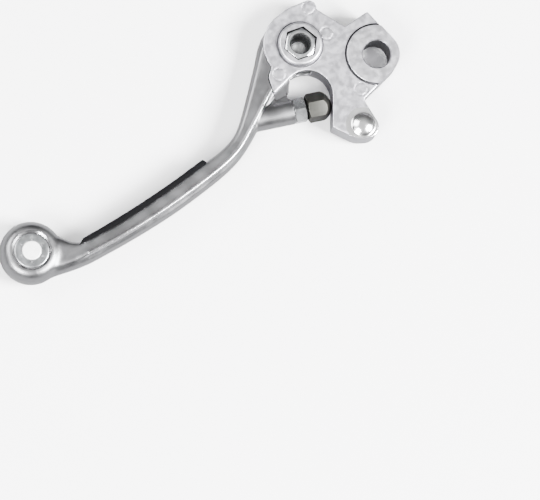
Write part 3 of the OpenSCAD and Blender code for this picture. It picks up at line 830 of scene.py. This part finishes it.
class LEVER_OT_blade(bpy.types.Operator):
    """Model the forged blade with its tongue, adjuster boss and ball end"""
    bl_idname = "lever.blade"
    bl_label = "Blade"

    def execute(self, context):
        knuckle = context.scene.lever_knuckle
        size = context.scene.lever_blade
        body = loft(curve_through(BLADE_KEYS, KEY_STEPS))
        tongue = 2.4 * MM
        web = prism(rounded(WEB_CORNERS), -tongue, tongue)
        eye = moved(drum(11.5 * MM, -tongue, tongue), HINGE)
        boss = along_adjuster(drum(5.4 * MM, -17 * MM, 0.3 * MM, 64))
        rib = along_adjuster(self.rib())
        ball = moved(self.ball(size), BALL)
        root = drum(knuckle.ear_radius + 0.2 * MM, -tongue - 0.2 * MM, tongue + 0.2 * MM, 128)
        shape = join(cut(body, moved(root, HINGE)), web, eye, boss, rib, ball)
        tumbled(shape, knuckle.grain, 7)
        self.soften_neck(shape)
        self.part_from_ears(shape, knuckle, tongue)
        self.machine(shape, knuckle, size)
        crisp(shape)
        rim = 8.55 * MM
        ridge_line = [(x * MM, (bar + min(2.9, 0.3 * (front - bar)) + 0.25) * MM)
                      for x, front, bar, high in curve_through(BLADE_KEYS, KEY_STEPS)]
        # Painted highlight on the ball's face and along the ridge, which are also made smoother.
        shade_faces(shape, "polish_and_highlight", lambda c: (
            1.0 if c.z > 5 * MM and (c.xy - BALL.xy).length < rim
            else self.on_ridge(c, ridge_line) if c.z > 4 * MM else 0))
        finished(shape, "blade_forging", "blade", "forged_aluminium", FINISH["forged"], "blade")
        return {"FINISHED"}

    def on_ridge(self, place, line):
        """How much the face at this place is polished by the hand along the ridge, which also paints a
        highlight there.
        """
        if not -0.156 < place.x < -0.05:
            return 0
        k = next((i for i, p in enumerate(line) if p[0] < place.x), len(line) - 1)
        (x0, y0), (x1, y1) = line[k - 1], line[k]
        off = abs(place.y - y0 - (y1 - y0) * (place.x - x0) / (x1 - x0)) / MM
        return max(0, 0.75 * (1 - off / 1.1))

    def soften_neck(self, shape):
        """Blends the blade into the ball end."""
        middle = Vector((-161.5 * MM, -8.5 * MM))
        near = shape.vertex_groups.new(name="neck")
        for reach, weight in ((12, 0.25), (10.5, 0.6), (9, 1.0)):
            near.add([v.index for v in shape.data.vertices if (v.co.xy - middle).length < reach * MM],
                     weight, "REPLACE")
        apply_modifier(shape, "SMOOTH", factor=0.5, iterations=220, vertex_group="neck")
        shape.vertex_groups.clear()

    def part_from_ears(self, shape, knuckle, tongue):
        """Clears the two ears above and below the tongue, with a close joint line."""
        gap = 0.1 * MM
        for low, high in ((tongue, THROUGH), (-THROUGH, -tongue)):
            ear = moved(drum(knuckle.ear_radius + gap, low, high, 128), HINGE)
            side = prism(rounded([(x - 0.1 - 0.15 * r, y, r) for x, y, r in EAR_SIDE]
                                 + [(-30, 4, 0), (-30, 20, 0)]), low, high)
            cut(shape, ear, side)

    def rib(self):
        """The wedge between the adjuster's boss and the web, made about the adjuster's axis."""
        side = 4.5 * MM
        tip = 1.9 * MM
        obj = loop([(-side, -3 * MM, -15 * MM), (-side, MM, -15 * MM), (-tip, 10 * MM, -15 * MM),
                    (tip, 10 * MM, -15 * MM), (side, MM, -15 * MM), (side, -3 * MM, -15 * MM)])
        for v in obj.data.vertices:
            v.co.x, v.co.y = -v.co.y, v.co.x
        edit(obj)
        bpy.ops.mesh.edge_face_add()
        bpy.ops.mesh.extrude_region_move(TRANSFORM_OT_translate={"value": (0, 0, 15 * MM)})
        bpy.ops.mesh.select_all(action="SELECT")
        bpy.ops.mesh.normals_make_consistent(inside=False)
        done()
        return obj

    def ball(self, size):
        """The round end, flat on both faces with a full round rim."""
        flat = 8.5 * MM
        bulge = size.ball_radius - flat
        high = size.ball_height / 2
        rim = [(flat + bulge * cos(radians(a)), high * sin(radians(a))) for a in range(-90, 91, 10)]
        return turned([(0, -high)] + rim + [(0, high)])

    def machine(self, shape, knuckle, size):
        """Bores, seats and recesses that are cut into the rounded forging."""
        cut(shape, moved(drum(7.03 * MM, -THROUGH, THROUGH), HINGE))
        cut(shape, moved(turned([(7.43 * MM, -0.3 * MM), (9.28 * MM, -0.3 * MM), (9.28 * MM, 5 * MM),
                                 (7.43 * MM, 5 * MM)]), HINGE))
        cut(shape, prism(pad_outline(0.02), -5.32 * MM, 5.32 * MM))
        cut(shape, along_adjuster(drum(3.03 * MM, -16 * MM, 5 * MM, 64)))
        cut(shape, along_adjuster(facing_tool(5.4 * MM, 0, 0.3 * MM)))
        high = size.ball_height / 2
        recess = turned([(0, -THROUGH), (4.04 * MM, -THROUGH), (4.04 * MM, high - 1.4 * MM),
                         (7.5 * MM, high - 1.4 * MM), (7.5 * MM, high - 0.75 * MM),
                         (8.6 * MM, high + 0.02 * MM), (9.6 * MM, high + MM), (0, high + MM)], 128)
        cut(shape, moved(recess, BALL))
        badge = drum(9.05 * MM, -THROUGH, -5.7 * MM, 128)
        cut(shape, moved(badge, BALL))


# Finger grooves of the pad: how many, where the first lies and their pitch; and its two pegs
RIB_COUNT, RIB_START, RIB_STEP = 17, -145, 3.2
PEG_PLACES = (-139.5, -99.5)


class LEVER_OT_grip_pad(bpy.types.Operator):
    """Model the rubber grip pad with its pegs and finger grooves"""
    bl_idname = "lever.grip_pad"
    bl_label = "Grip pad"

    def execute(self, context):
        size = context.scene.lever_blade
        half = size.pad_height / 2
        pad = prism(pad_outline(), -half, half)
        eased(pad, 0.3 * MM, 3)
        grooves = []
        for i in range(RIB_COUNT):
            x = RIB_START + RIB_STEP * i
            deselect()
            bpy.ops.mesh.primitive_cylinder_add(vertices=20, radius=0.55 * MM, depth=7.4 * MM,
                                                location=(x * MM, (pad_face(x) + 0.22) * MM, 0))
            grooves.append(settle(bpy.context.object))
        cut(pad, join(*grooves))
        pegs = []
        for x in PEG_PLACES:
            deselect()
            bpy.ops.mesh.primitive_cylinder_add(
                vertices=48, radius=1.5 * MM, depth=3.5 * MM, rotation=(pi / 2, 0, 0),
                location=(x * MM, (pad_seat(x) - 0.75) * MM, 0))
            pegs.append(settle(bpy.context.object))
        fused(pad, *pegs)
        crisp(pad, 40)
        finished(pad, "grip_pad_rubber", "blade", "grip_rubber", FINISH["rubber"], "grip_pad")
        return {"FINISHED"}


# ---- hinge -------------------------------------------------------------------------------------

def ring_profile(outer, inner, z0, z1, ease):
    """Profile of a washer or bush with broken corners."""
    return [(inner + ease, z0), (outer - ease, z0), (outer, z0 + ease), (outer, z1 - ease),
            (outer - ease, z1), (inner + ease, z1), (inner, z1 - ease), (inner, z0 + ease)]


def turned_hex(across, z0, z1, roll):
    """A hexagonal bar with its corners turned off at both ends."""
    corner = across / sqrt(3) + 0.1 * MM
    face = across / 2 - 0.25 * MM
    drop = 0.5 * (corner - face)
    blank = turned([(0, z0), (face, z0), (corner, z0 + drop), (corner, z1 - drop), (face, z1), (0, z1)])
    return combine(hexagon(across, z0 - MM, z1 + MM, roll), blank, "INTERSECT")


class LEVER_OT_hinge(bpy.types.Operator):
    """Model the hinge sleeve, its screw, the washers, the bush and the return spring"""
    bl_idname = "lever.hinge"
    bl_label = "Hinge"

    def execute(self, context):
        size = context.scene.lever_fasteners
        self.sleeve(size)
        self.screw()
        washer = turned(ring_profile(6.25 * MM, 3.05 * MM, -5.7 * MM, -4.9 * MM, 0.12 * MM))
        finished(crisp(moved(washer, HINGE)), "hinge_washer", "knuckle", "screw_steel", FINISH["zinc"],
                 "pivot_washer")
        low = 2.45 * MM
        for name, z0 in (("upper_thrust_washer", low), ("lower_thrust_washer", -low - 0.4 * MM)):
            ring = turned(ring_profile(7.63 * MM, 5.55 * MM, z0, z0 + 0.4 * MM, 0.06 * MM))
            finished(crisp(moved(ring, HINGE)), name + "_bronze", "knuckle", "bronze",
                     FINISH["bronze"], name)
        bush = turned(ring_profile(7.03 * MM, 5.53 * MM, -2.4 * MM, 2.4 * MM, 0.15 * MM))
        finished(crisp(moved(bush, HINGE)), "hinge_bush", "blade", "bronze", FINISH["bronze"], "pivot_bush")
        self.spring()
        return {"FINISHED"}

    def sleeve(self, size):
        """The hex-headed sleeve nut that the blade turns on."""
        head = turned_hex(size.hinge_hex, 4.5 * MM, 7.7 * MM, -10)
        shank = turned([(0, -4.9 * MM), (5.3 * MM, -4.9 * MM), (5.5 * MM, -4.7 * MM),
                        (5.5 * MM, 4.6 * MM), (0, 4.6 * MM)])
        fused(head, shank)
        cut(head, turned([(0, -1.4 * MM), (4.3 * MM, -1.4 * MM), (4.3 * MM, 7.3 * MM),
                          (5.1 * MM, 8.1 * MM), (0, 8.1 * MM)]))
        cut(head, drum(3.05 * MM, -10 * MM, 0))
        # Painted shade inside the sleeve's bore.
        shade_faces(head, "bore_shade", lambda c: 0.85 if c.xy.length < 4.35 * MM and c.z < 7.2 * MM else 0)
        finished(crisp(moved(head, HINGE)), "hinge_sleeve", "knuckle", "nut_steel", FINISH["bright"],
                 "pivot_sleeve")

    def screw(self):
        """The screw from below, with its domed end inside the sleeve."""
        dome = [(4.2 * sin(a), -0.7 + 1 - 4.2 * (1 - cos(a)))
                for a in [asin(2.7 / 4.2) * (1 - k / 10) for k in range(11)]]
        profile = [(0, -7.7), (5.2, -7.7), (5.65, -7.25), (5.65, -5.7), (3, -5.7), (3, -1.2),
                   (2.7, -1.2)] + dome
        screw = turned([(r * MM, z * MM) for r, z in profile])
        cut(screw, hexagon(4 * MM, -9 * MM, -6.4 * MM))
        eased(screw, 0.08 * MM)
        finished(crisp(moved(screw, HINGE)), "hinge_screw", "knuckle", "screw_steel", FINISH["turned"],
                 "pivot_screw")

    def spring(self):
        """The torsion spring: two and a quarter turns with a leg at each end."""
        radius = 8.63 * MM
        turns = 2.25
        low, high = 0.25 * MM, 2.3 * MM
        steps = 90
        points = [(60, -1.5 * MM), (60, low - 0.4 * MM)]
        points += [(68 + (360 * turns - 16) * k / steps, low + (high - low) * k / steps)
                   for k in range(steps + 1)]
        points += [(60 + 360 * turns, high + 0.5 * MM), (60 + 360 * turns, 4.3 * MM)]
        deselect()
        bpy.ops.curve.primitive_nurbs_path_add()
        curve = bpy.context.object.data
        curve.splines.clear()
        wire = curve.splines.new("POLY")
        wire.points.add(len(points) - 1)
        for p, (a, z) in zip(wire.points, points):
            p.co = (radius * cos(radians(a)), radius * sin(radians(a)), z, 1)
        curve.dimensions = "3D"
        curve.bevel_depth = 0.44 * MM
        curve.bevel_resolution = 4
        curve.use_fill_caps = True
        obj = bpy.context.object
        pick(obj)
        bpy.ops.object.convert(target="MESH")
        obj = bpy.context.object
        edit(obj)
        bpy.ops.mesh.remove_doubles(threshold=1e-6)
        bpy.ops.mesh.normals_make_consistent(inside=False)
        done()
        finished(crisp(moved(obj, HINGE), 50), "return_spring_wire", "knuckle", "spring_steel",
                 FINISH["spring"], "return_spring")


# ---- reach adjuster ----------------------------------------------------------------------------

class LEVER_OT_adjuster(bpy.types.Operator):
    """Model the adjuster's lock nut, seal ring and domed screw"""
    bl_idname = "lever.adjuster"
    bl_label = "Reach adjuster"

    def execute(self, context):
        size = context.scene.lever_fasteners
        nut = turned_hex(size.lock_hex, 0.05 * MM, 5.35 * MM, 35)
        cut(nut, turned([(0, -MM), (3.7 * MM, -MM), (3.05 * MM, 0.5 * MM), (3.05 * MM, 4.9 * MM),
                         (3.7 * MM, 6.4 * MM), (0, 6.4 * MM)]))
        finished(crisp(along_adjuster(nut)), "adjuster_nut", "blade", "zinc_steel", FINISH["zinc"],
                 "adjuster_lock_nut")
        ring = turned(ring_profile(4.6 * MM, 3.05 * MM, 5.38 * MM, 6.07 * MM, 0.25 * MM))
        finished(crisp(along_adjuster(ring), 50), "adjuster_seal", "adjuster_ring", "seal_rubber",
                 FINISH["seal"], "adjuster_seal_ring")
        self.screw(size)
        return {"FINISHED"}

    def screw(self, size):
        """The domed hex head on its threaded shank."""
        start = 6.1 * MM
        end = size.head_end
        dome = 7 * MM
        corner = size.head_hex / sqrt(3) + 0.1 * MM
        sweep = asin(corner / dome)
        crown = [(dome * sin(a), end - dome * (1 - cos(a)))
                 for a in [sweep * (1 - k / 16) for k in range(17)]]
        blank = turned([(0, start), (5.2 * MM, start), (corner, start + 0.6 * MM)] + crown)
        head = combine(hexagon(size.head_hex, start - MM, end + MM, 20), blank, "INTERSECT")
        eased(head, 0.18 * MM, 2, 25)
        radius = size.thread / 2
        teeth = int(18 * MM / size.pitch)
        thread = [(0, -13 * MM), (radius - 0.55 * MM, -13 * MM)]
        for i in range(teeth):
            z = -12.6 * MM + i * size.pitch
            thread += [(radius, z + 0.38 * size.pitch), (radius, z + 0.5 * size.pitch),
                       (radius - 0.5 * MM, z + 0.9 * size.pitch)]
        thread += [(radius - 0.5 * MM, start + 0.5 * MM), (0, start + 0.5 * MM)]
        fused(head, turned(thread, 48))
        finished(crisp(along_adjuster(head)), "adjuster_bolt", "adjuster_screw", "dark_steel",
                 FINISH["dark"], "adjuster_screw")


# ---- ball end trim -----------------------------------------------------------------------------

class LEVER_OT_ball_trim(bpy.types.Operator):
    """Model the star lock washer, the stud and the badge in the ball end"""
    bl_idname = "lever.ball_trim"
    bl_label = "Ball end trim"

    def execute(self, context):
        size = context.scene.lever_fasteners
        self.star(size)
        stud = turned([(0, -6.1 * MM), (3.85 * MM, -6.1 * MM), (4 * MM, -5.95 * MM), (4 * MM, 6.45 * MM),
                       (3.9 * MM, 6.65 * MM), (3.6 * MM, 6.8 * MM), (0, 6.8 * MM)])
        finished(crisp(moved(stud, BALL), 25), "badge_stud_bar", "blade", "stud_aluminium",
                 FINISH["turned"], "badge_stud")
        self.badge()
        return {"FINISHED"}

    def star(self, size):
        """A spring washer whose slots leave teeth that bite the stud."""
        washer = turned([(r * MM, z * MM) for r, z in (
            (4.05, 5.85), (4.3, 5.85), (6.6, 5.6), (7.2, 5.6), (7.2, 6.1), (6.9, 6.2), (6.6, 6.2),
            (4.3, 6.35), (4.05, 6.3))])
        for i in range(size.star_slots):
            a = 2 * pi * i / size.star_slots + radians(60)
            deselect()
            bpy.ops.mesh.primitive_cube_add(size=MM, location=(4.4 * MM * cos(a), 4.4 * MM * sin(a), 6 * MM),
                                            rotation=(0, 0, a))
            slot = bpy.context.object
            slot.scale = (1.9, 0.7, 4)
            cut(washer, settle(slot))
        eased(washer, 0.05 * MM)
        finished(crisp(moved(washer, BALL)), "star_washer", "blade", "washer_steel", FINISH["washer"],
                 "star_lock_washer")

    def badge(self):
        """A round moulded badge with plain raised rings."""
        low, high = -7.3, -5.7
        rings = []
        for r in (8.6, 7.0, 5.4, 3.8, 2.2):
            rings += [(r, low), (r - 0.9, low), (r - 1.05, low + 0.3), (r - 1.45, low + 0.3)]
        profile = [(9.0, high), (9.0, low + 0.35), (8.9, low + 0.1)] + rings + [(0, low + 0.3), (0, high)]
        badge = turned([(r * MM, z * MM) for r, z in profile], 128)
        cut(badge, drum(4.02 * MM, -6.1 * MM, -5 * MM))
        finished(crisp(moved(badge, BALL)), "round_badge", "blade", "badge_plastic", FINISH["plastic"],
                 "end_badge")


# ---- stage -------------------------------------------------------------------------------------

# Where the camera looks, in millimetres, and how it is turned, in degrees
AIM = (-82.4, -49.1, 0)
CAMERA_TURN = (11.91, -6.41, -31.33)
MIRRORED_FLOOR = (0.3, 0.3, 0.305, 1)  # the floor as the metal sees it


class LEVER_OT_stage(bpy.types.Operator):
    """Make the floor, the light and the camera"""
    bl_idname = "lever.stage"
    bl_label = "Stage"

    def execute(self, context):
        stage = context.scene.lever_stage
        self.floor(context.scene.lever_finishes)
        turn = Euler([radians(a) for a in CAMERA_TURN])
        aim = Vector(AIM) * MM
        deselect()
        bpy.ops.object.camera_add(location=aim + turn.to_matrix() @ Vector((0, 0, stage.distance)),
                                  rotation=turn)
        camera = bpy.context.object
        camera.name = "camera"
        camera.data.lens = stage.lens
        camera.data.clip_end = 20
        context.scene.camera = camera
        self.light("key_light", (0.9, -1.1, 1.4), stage.key, 0.9)
        self.light("side_light", (-1.5, -0.5, 1.5), stage.fill, 0.9)
        self.light("back_light", (-0.9, 1.2, 1.4), stage.back, 1.2)
        self.world(stage.sky)
        return {"FINISHED"}

    def floor(self, colours):
        """A pale plane that the lever lies on, which is a mid grey where the metal mirrors it."""
        deselect()
        bpy.ops.mesh.primitive_plane_add(size=8, location=(0, 0, FLOOR_Z - 0.01 * MM))
        floor = settle(bpy.context.object)
        floor.name = "studio_floor"
        material, tree, shader = new_material("Studio floor")
        shader.inputs["Base Color"].default_value = (*colours.floor, 1)
        shader.inputs["Roughness"].default_value = 0.9
        shader.inputs["Specular IOR Level"].default_value = 0.0
        mirrored = node(tree, "ShaderNodeBsdfDiffuse")
        mirrored.inputs["Color"].default_value = MIRRORED_FLOOR
        seen = tree.nodes.new("ShaderNodeLightPath")
        choice = tree.nodes.new("ShaderNodeMixShader")
        tree.links.new(seen.outputs["Is Camera Ray"], choice.inputs[0])
        tree.links.new(mirrored.outputs[0], choice.inputs[1])
        tree.links.new(shader.outputs[0], choice.inputs[2])
        tree.links.new(choice.outputs[0], tree.nodes["Material Output"].inputs["Surface"])
        floor.data.materials.append(material)

    def light(self, name, place, power, size):
        """A square soft light that faces the lever."""
        deselect()
        place = Vector(place)
        aim = Vector((-0.08, 0, 0)) - place
        facing = aim.to_track_quat("-Z", "Y").to_euler()
        bpy.ops.object.light_add(type="AREA", location=place, rotation=facing)
        light = bpy.context.object
        light.name = name
        light.data.energy = power
        light.data.size = size

    def world(self, strength):
        """A surround that is pale overhead and darker round the sides, and pale to the camera."""
        world = bpy.data.worlds.new("Studio surround")
        world.use_nodes = True
        tree = world.node_tree
        back = tree.nodes["Background"]
        coords = tree.nodes.new("ShaderNodeTexCoord")
        split = tree.nodes.new("ShaderNodeSeparateXYZ")
        height = tree.nodes.new("ShaderNodeValToRGB")
        bands = ((0.0, 0.1), (0.5, 0.16), (0.78, 0.5), (0.93, 1.0), (1.0, 1.0))
        elements = height.color_ramp.elements
        for place, level in bands[1:-1]:
            elements.new(place).color = (level, level, level, 1)
        elements[0].color = (bands[0][1], bands[0][1], bands[0][1] * 1.03, 1)
        elements[-1].color = (1, 1, 1, 1)
        seen = tree.nodes.new("ShaderNodeLightPath")
        shown = node(tree, "ShaderNodeMix", data_type="RGBA")
        shown.inputs[7].default_value = (2.2, 2.2, 2.2, 1)
        tree.links.new(coords.outputs["Generated"], split.inputs[0])
        tree.links.new(split.outputs["Z"], height.inputs[0])
        tree.links.new(seen.outputs["Is Camera Ray"], shown.inputs[0])
        tree.links.new(height.outputs["Color"], shown.inputs[6])
        tree.links.new(shown.outputs[2], back.inputs["Color"])
        back.inputs["Strength"].default_value = strength
        bpy.context.scene.world = world


# ---- panel and registration --------------------------------------------------------------------

OPERATORS = (LEVER_OT_knuckle, LEVER_OT_blade, LEVER_OT_grip_pad, LEVER_OT_hinge,
             LEVER_OT_adjuster, LEVER_OT_ball_trim, LEVER_OT_stage)
GROUPS = {"lever_knuckle": KnuckleSizes, "lever_blade": BladeSizes, "lever_fasteners": FastenerSizes,
          "lever_finishes": Finishes, "lever_stage": StageSettings}


class LEVER_PT_panel(bpy.types.Panel):
    """Sizes, finishes and the pieces to make"""
    bl_label = "Hand Brake Lever"
    bl_idname = "LEVER_PT_panel"
    bl_space_type = "VIEW_3D"
    bl_region_type = "UI"
    bl_category = "Lever"

    def draw(self, context):
        for key, group in GROUPS.items():
            box = self.layout.box()
            box.label(text=group.__doc__)
            for prop in group.__annotations__:
                box.prop(getattr(context.scene, key), prop)
        for operator in OPERATORS:
            self.layout.operator(operator.bl_idname)


def register():
    for group in GROUPS.values():
        bpy.utils.register_class(group)
    for operator in OPERATORS:
        bpy.utils.register_class(operator)
    bpy.utils.register_class(LEVER_PT_panel)
    for key, group in GROUPS.items():
        setattr(bpy.types.Scene, key, PointerProperty(type=group))


def unregister():
    for key in GROUPS:
        delattr(bpy.types.Scene, key)
    bpy.utils.unregister_class(LEVER_PT_panel)
    for operator in reversed(OPERATORS):
        bpy.utils.unregister_class(operator)
    for group in reversed(GROUPS.values()):
        bpy.utils.unregister_class(group)


def main():
    register()
    make_finishes(bpy.context.scene.lever_finishes)
    bpy.ops.lever.knuckle()
    bpy.ops.lever.blade()
    bpy.ops.lever.grip_pad()
    bpy.ops.lever.hinge()
    bpy.ops.lever.adjuster()
    bpy.ops.lever.ball_trim()
    bpy.ops.lever.stage()
    deselect()


if __name__ == "__main__":
    main()
